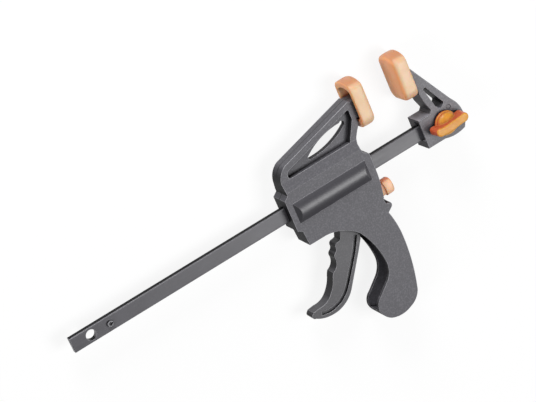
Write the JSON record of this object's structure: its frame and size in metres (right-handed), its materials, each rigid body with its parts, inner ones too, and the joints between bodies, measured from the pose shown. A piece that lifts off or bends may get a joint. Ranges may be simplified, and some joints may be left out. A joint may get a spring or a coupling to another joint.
{
  "type": "quick release bar clamp",
  "caption": "One-handed bar clamp: a steel bar, a fixed jaw held by a wing knob, and a sliding head with trigger, grip, release button and soft pads.",
  "frame": {"origin": "centre of the hang hole in the bar's rear end, in the middle of the bar's thickness", "axes": "+X along the bar towards the fixed jaw, +Y towards the jaws, +Z along the hang hole towards the knob's side"},
  "size_m": [0.2935, 0.1585, 0.0285],
  "materials": {
    "bar_paint": "satin dark grey paint",
    "bright_steel": "plain steel",
    "dark_steel": "blackened steel",
    "grey_plastic": "fine grained",
    "orange_rubber": "soft matte",
    "orange_plastic": "semi gloss"
  },
  "bodies": {
    "bar": {"bar": "bar_paint", "stop_pin": "dark_steel", "fixed_jaw": "grey_plastic", "fixed_jaw_pad": "orange_rubber", "jaw_nut": "bright_steel"},
    "washer": {"knob_washer": "bright_steel"},
    "knob": {"jaw_knob": "orange_plastic", "knob_screw": "bright_steel"},
    "head": {"housing_near": "grey_plastic", "housing_far": "grey_plastic", "housing_screws": "dark_steel", "moving_jaw_pad": "orange_rubber", "trigger_pin": "bright_steel", "drive_spring": "bright_steel", "brake_spring": "bright_steel"},
    "trigger": {"trigger": "grey_plastic"},
    "drive": {"drive_plate_front": "dark_steel", "drive_plate_rear": "dark_steel"},
    "brake": {"brake_plate": "dark_steel", "release_button": "orange_plastic"}
  },
  "joints": [
    {"name": "head_slide", "type": "slide", "parent": "bar", "child": "head", "axis": [1, 0, 0], "range_m": [-0.1289, 0.0234]},
    {"name": "trigger_pull", "type": "hinge", "parent": "head", "child": "trigger", "pos_m": [0.17899, -0.018, 0], "axis": [0, 0, 1], "range_deg": [0, 24], "stiffness_Nm_per_rad": 0.25, "springref_deg": -14.32},
    {"name": "drive_plate_slide", "type": "slide", "parent": "head", "child": "drive", "axis": [-1, 0, 0], "range_m": [0, 0.00406], "deforming": ["drive_spring"]},
    {"name": "release_press", "type": "hinge", "parent": "head", "child": "brake", "pos_m": [0.19957, 0.0086, 0], "axis": [0, 0, -1], "range_deg": [0, 4], "stiffness_Nm_per_rad": 0.1, "springref_deg": -11.46},
    {"name": "knob_travel", "type": "slide", "parent": "bar", "child": "washer", "axis": [0, 0, 1], "range_m": [0, 0.0016]},
    {"name": "knob_turn", "type": "hinge", "parent": "washer", "child": "knob", "pos_m": [0.2652, 0, 0], "axis": [0, 0, 1], "range_deg": [0, 725]}
  ],
  "couplings": [
    {"joint": "drive_plate_slide", "follows": "trigger_pull", "m_per_rad": 0.00965},
    {"joint": "knob_turn", "follows": "knob_travel", "rad_per_m": 7854}
  ]
}
